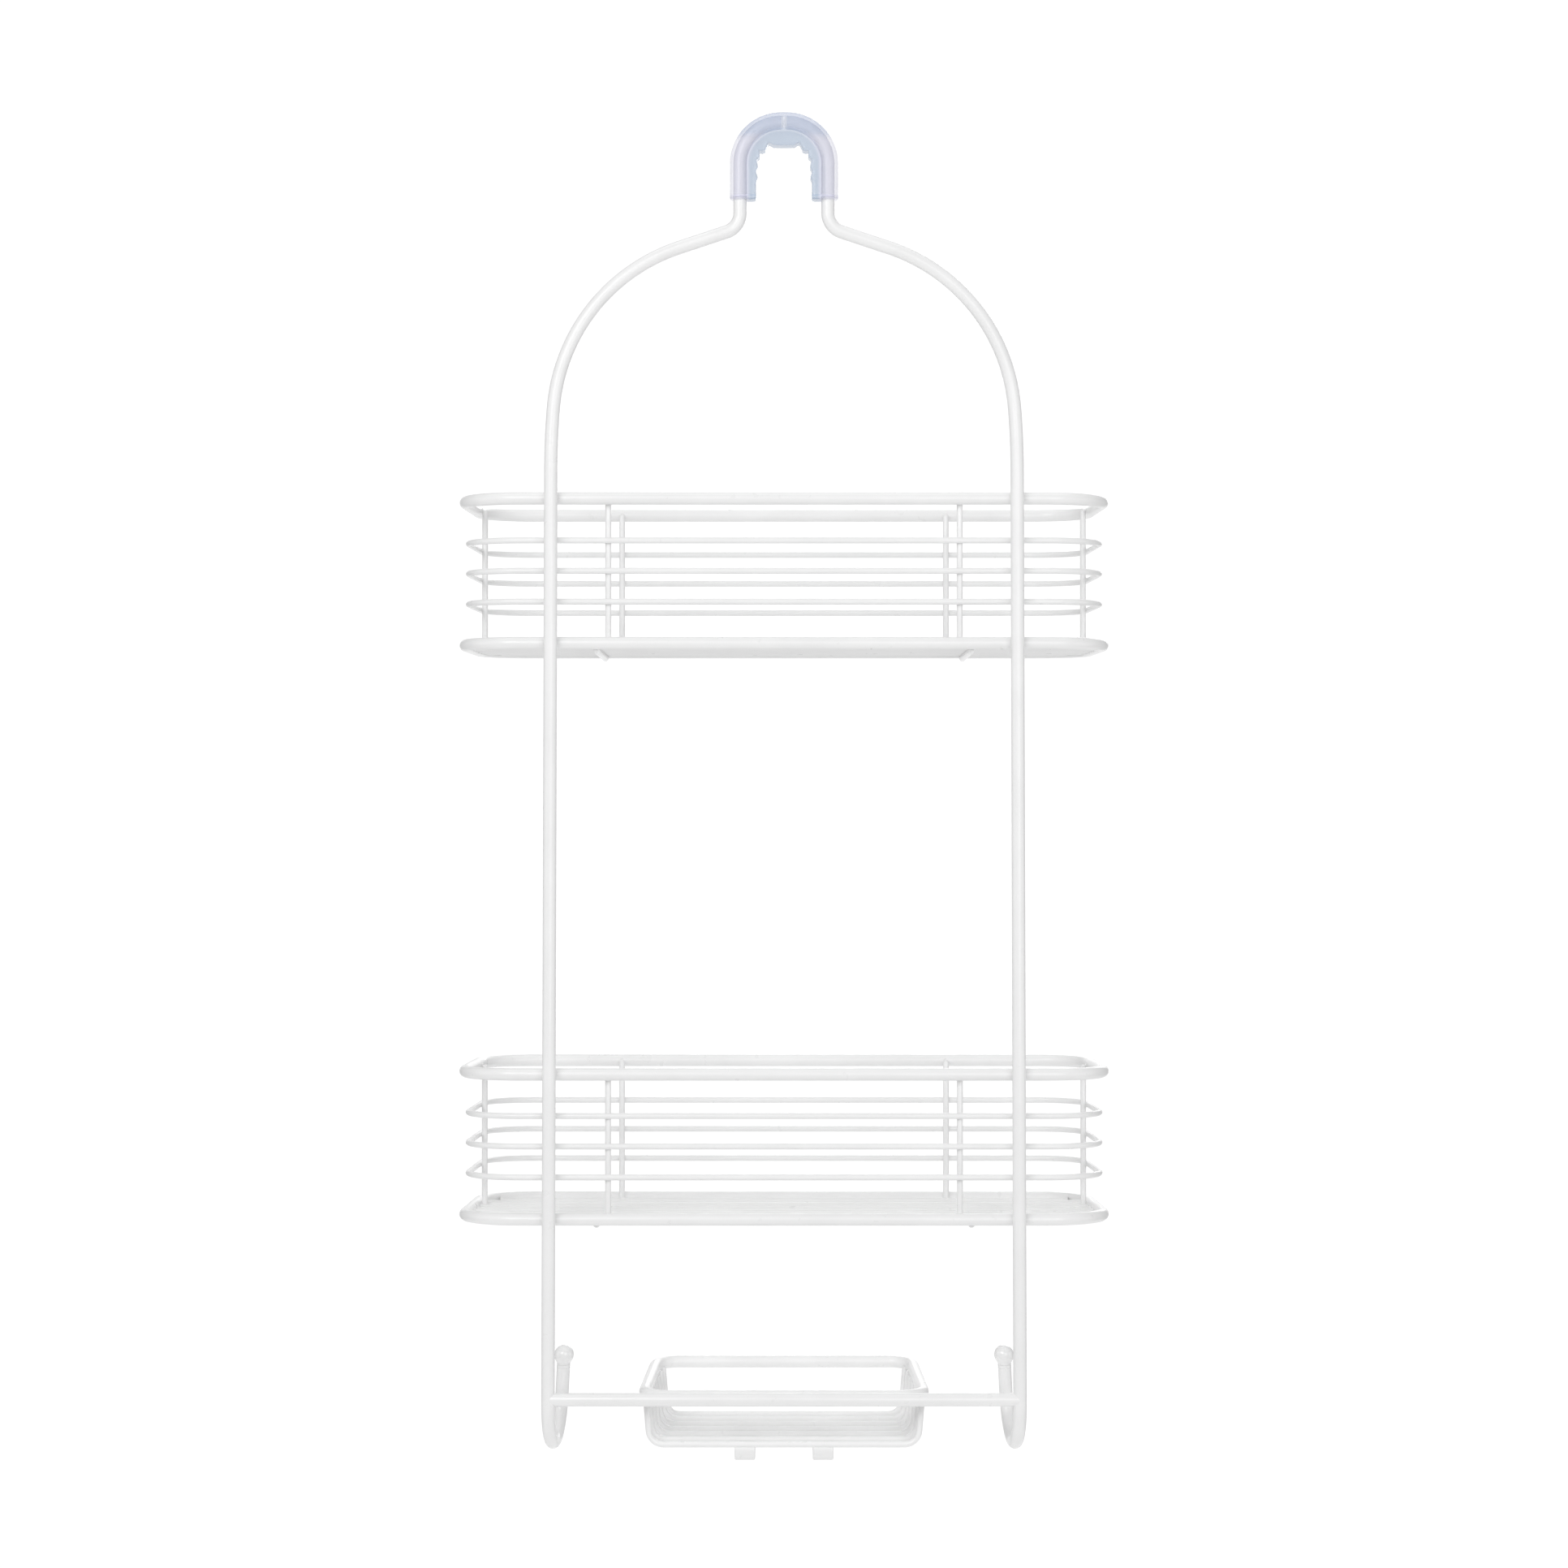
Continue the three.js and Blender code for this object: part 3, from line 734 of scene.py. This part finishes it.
DISH_BACK_HALF = mm(66.3)
DISH_FRONT_HALF = mm(62.3)
DISH_DEPTH = mm(80)
DISH_LIFT = mm(0.7)
DISH_SLOPE = math.radians(3.6)
DISH_CORNER_R = mm(12)
DISH_RIBS = 7
FIRST_RIB = mm(7)
RIB_BACK_HALF = mm(65.3)
RIB_FRONT_HALF = mm(59.2)
RIB_TAPER = mm(1.9)
RIB_DROP = mm(24.5)
RIB_BEND_R = mm(7)
RIB_TOP_Z = -RIM_R * 0.4  # a rib's legs end beside the rim, below its centreline
RIB_WELD_Z = -RIM_R * 0.75
STRAP_X = mm(18.5)
STRAP_WIDTH = mm(9.7)
STRAP_THICK = mm(1.5)
STRAP_REACH = mm(35)
STRAP_BEND_R = mm(4.6)
STRAP_LIP = mm(4)
STRAP_EDGE = mm(0.25)  # the strip's ends are eased by this much
STRAP_MARGIN = mm(0.4)  # from the strip's rounded edges to the first points on its flats
STRAP_TOP = -WIRE_R * 0.7  # from the centreline of the rib that a strap is welded to
SEAM_X = mm(44)  # welds along the line where the crossbar and the dish's rim touch
SEAM_LENGTH = mm(14)
SEAM_R = mm(1.9)
STRAP_SEAM_LENGTH = STRAP_WIDTH * 0.8
STRAP_SEAM_R = mm(0.7)
WELD_GAP = mm(0.05)  # welded wires stand this far apart


def dish_place(points):
    """Tilts points laid out level round the back rim's centre, and puts them on the crossbar."""
    centre = middle_of("crossbar")
    back = math.sqrt((ROD_R + RIM_R + WELD_GAP) ** 2 - DISH_LIFT ** 2)
    c, s = math.cos(DISH_SLOPE), math.sin(DISH_SLOPE)
    points = np.array(points, float)
    x, y, z = points[..., 0], points[..., 1], points[..., 2]
    return np.stack((x, y * c - z * s + back, y * s + z * c + centre[2] + DISH_LIFT), axis=-1)


def add_dish_rim():
    points = bent_path([
        corner(DISH_BACK_HALF, 0, 0, DISH_CORNER_R),
        corner(DISH_FRONT_HALF, DISH_DEPTH, 0, DISH_CORNER_R),
        corner(-DISH_FRONT_HALF, DISH_DEPTH, 0, DISH_CORNER_R),
        corner(-DISH_BACK_HALF, 0, 0, DISH_CORNER_R),
    ], closed=True)
    vertices, faces = sweep(points, [RIM_R] * len(points), THICK_SIDES, closed=True)
    add_wire("dish_rim", dish_place(vertices), faces)


def rib_layout(i):
    """Where a rib stands along the dish, and half the distance between the tops of its legs."""
    along = i / (DISH_RIBS - 1)
    y = FIRST_RIB + (DISH_DEPTH - 2 * FIRST_RIB) * along
    return y, RIB_BACK_HALF + (RIB_FRONT_HALF - RIB_BACK_HALF) * along


def add_dish_ribs():
    """Wires bent into a U, whose legs are welded under the inner edge of the rim."""
    for i in range(DISH_RIBS):
        y, half = rib_layout(i)
        path = bent_path([
            corner(-half, y, RIB_TOP_Z),
            corner(-half + RIB_TAPER, y, -RIB_DROP, RIB_BEND_R),
            corner(half - RIB_TAPER, y, -RIB_DROP, RIB_BEND_R),
            corner(half, y, RIB_TOP_Z),
        ])
        vertices, faces = open_wire(path, WIRE_R, CUT_EDGE, CUT_EDGE, up=(0, 1, 0))
        add_wire(f"dish_rib_{i + 1}", dish_place(vertices), faces)


def strap_section(shrink):
    """A flat strip with rounded edges, as pairs of thickness and X distances."""
    half = STRAP_WIDTH / 2 - shrink
    edge = STRAP_THICK / 2 - shrink
    inner = half - edge - STRAP_MARGIN
    section = []
    for side in (1, -1):
        section.append((side * edge, side * inner))
        for i in range(9):
            a = math.pi * i / 8
            section.append((side * edge * math.cos(a), side * (half - edge + edge * math.sin(a))))
        section.append((-side * edge, side * inner))
    return section


def add_strap(place, side):
    """A flat strip welded under the first rib, which turns forward, runs level and ends in a lip."""
    name = f"razor_hook_{place}"
    low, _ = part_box(name)
    rib = dish_place((0, FIRST_RIB, -RIB_DROP))
    base = low.z + STRAP_THICK / 2
    path = bent_path([
        corner(side * STRAP_X, rib[1], rib[2] + STRAP_TOP),
        corner(side * STRAP_X, rib[1], base, STRAP_BEND_R),
        corner(side * STRAP_X, rib[1] + STRAP_REACH, base, STRAP_BEND_R),
        corner(side * STRAP_X, rib[1] + STRAP_REACH + STRAP_LIP / 2, base + STRAP_LIP),
    ])
    near_start = path[0] + unit(path[1] - path[0]) * STRAP_EDGE
    near_end = path[-1] + unit(path[-2] - path[-1]) * STRAP_EDGE
    path = np.vstack((path[0], near_start, path[1:-1], near_end, path[-1]))
    shrinks = [STRAP_EDGE] + [0] * (len(path) - 2) + [STRAP_EDGE]
    across, over = path_frames(path, False, (1, 0, 0))
    rings = []
    for point, wide, thick, shrink in zip(path, across, over, shrinks):
        rings.append(np.array([point + u * thick + v * wide for u, v in strap_section(shrink)]))
    add_wire(name, *loft(rings, False))


def dish_welds():
    beads = []
    for i in range(DISH_RIBS):
        y, half = rib_layout(i)
        for side in SIDES.values():
            at = np.array((side * half, y, RIB_WELD_Z))
            rings = weld_rings(at, (1, 0, 0), (0, 1, 0), *RIB_BEAD)
            beads.append([dish_place(ring) for ring in rings])
    bar = middle_of("crossbar")
    rim = dish_place((0, 0, 0))
    seam = bar + (rim - bar) * ROD_R / (ROD_R + RIM_R)
    strap = dish_place((0, FIRST_RIB, -RIB_DROP - WIRE_R))
    for side in SIDES.values():
        beads.append(seam_rings(seam + np.array((side * SEAM_X, 0, 0)), SEAM_LENGTH, SEAM_R))
        under_rib = strap + np.array((side * STRAP_X, 0, 0))
        beads.append(seam_rings(under_rib, STRAP_SEAM_LENGTH, STRAP_SEAM_R))
    return beads


def add_soap_dish():
    add_dish_rim()
    add_dish_ribs()
    for place, side in SIDES.items():
        add_strap(place, side)
    add_welds("soap_dish_welds", dish_welds())


# ---------------------------------------------------------------- the object

for place, side in SIDES.items():
    add_frame_rod(place, side)
    add_ball(place, side)
add_crossbar()
add_sleeve()
for basket in BASKETS:
    add_basket(basket)
add_soap_dish()


# ---------------------------------------------------------------- stage, lights and camera

CAMERA_DISTANCE = 1.8
CAMERA_Z = -0.3143
AIM_Z = -0.2995
VIEW_WIDTH = 0.736  # what the frame shows across at the frame rods
WALL_Y = 3.0
WALL_HALF = 1.3
WALL_GLOW = 1.05
FLOOR_Z = -1.65  # the caddy hangs well above the floor
FLOOR_HALF = 40  # and its edge is out of sight
FLOOR_GLOW = 0.195
FLOOR_SHADE = 0.45
WORLD_GLOW = 0.4
CORNER_SIGNS = ((-1, -1), (1, -1), (1, 1), (-1, 1))
LIGHT_AIM = Vector((0, 0.03, -0.3))
LIGHTS = {  # where each lamp stands, its width and height, and its watts
    "key": ((-0.8, -1.9, 0.5), (1.2, 1.0), 17),
    "fill": ((0.7, -1.9, -0.1), (1.2, 1.0), 10),
    "left": ((-2.1, -0.6, 0.0), (1.4, 1.4), 5),
    "right": ((2.1, -0.6, -0.4), (1.4, 1.4), 5),
    "front": ((0.5, 2.4, 0.7), (1.4, 1.4), 9),
    "top": ((0.0, 0.3, 1.8), (2.0, 1.4), 11),
    "bounce": ((0.0, 0.2, -1.55), (3.0, 3.0), 15),
}


def add_stage(name, corners, shade, glow):
    """A flat, plain sheet that gives off light of its own."""
    material, _, _, shader = new_material(f"studio_{name}")
    shader.inputs["Base Color"].default_value = (shade, shade, shade, 1)
    shader.inputs["Roughness"].default_value = 1
    shader.inputs["Emission Color"].default_value = (1, 1, 1, 1)
    shader.inputs["Emission Strength"].default_value = glow
    mesh = bpy.data.meshes.new(name)
    mesh.from_pydata(corners, [], [(0, 1, 2, 3)])
    mesh.materials.append(material)
    sheet = bpy.data.objects.new(name, mesh)
    bpy.context.scene.collection.objects.link(sheet)


def add_light(name, location, size, power):
    light = bpy.data.lights.new(name, "AREA")
    light.shape = "RECTANGLE"
    light.size, light.size_y = size
    light.energy = power
    lamp = bpy.data.objects.new(name, light)
    lamp.location = location
    aim = LIGHT_AIM - Vector(location)
    lamp.rotation_euler = aim.to_track_quat("-Z", "Y").to_euler()
    bpy.context.scene.collection.objects.link(lamp)


def add_world():
    world = bpy.data.worlds.new("studio")
    world.use_nodes = True
    background = world.node_tree.nodes["Background"]
    background.inputs["Color"].default_value = (1, 1, 1, 1)
    background.inputs["Strength"].default_value = WORLD_GLOW
    bpy.context.scene.world = world


def add_camera():
    camera = bpy.data.cameras.new("camera")
    camera.sensor_width = 36
    camera.lens = camera.sensor_width * CAMERA_DISTANCE / VIEW_WIDTH
    holder = bpy.data.objects.new("camera", camera)
    holder.location = (0, -CAMERA_DISTANCE, CAMERA_Z)
    aim = Vector((0, 0, AIM_Z)) - holder.location
    holder.rotation_euler = aim.to_track_quat("-Z", "Y").to_euler()
    bpy.context.scene.collection.objects.link(holder)
    bpy.context.scene.camera = holder


wall = [(x * WALL_HALF, WALL_Y, CAMERA_Z + z * WALL_HALF) for x, z in CORNER_SIGNS]
add_stage("wall", wall, 0, WALL_GLOW)
floor = [(x * FLOOR_HALF, y * FLOOR_HALF, FLOOR_Z) for x, y in CORNER_SIGNS]
add_stage("floor", floor, FLOOR_SHADE, FLOOR_GLOW)
add_world()
for name, (location, size, power) in LIGHTS.items():
    add_light(name, location, size, power)
add_camera()
bpy.context.scene.view_settings.view_transform = "Standard"
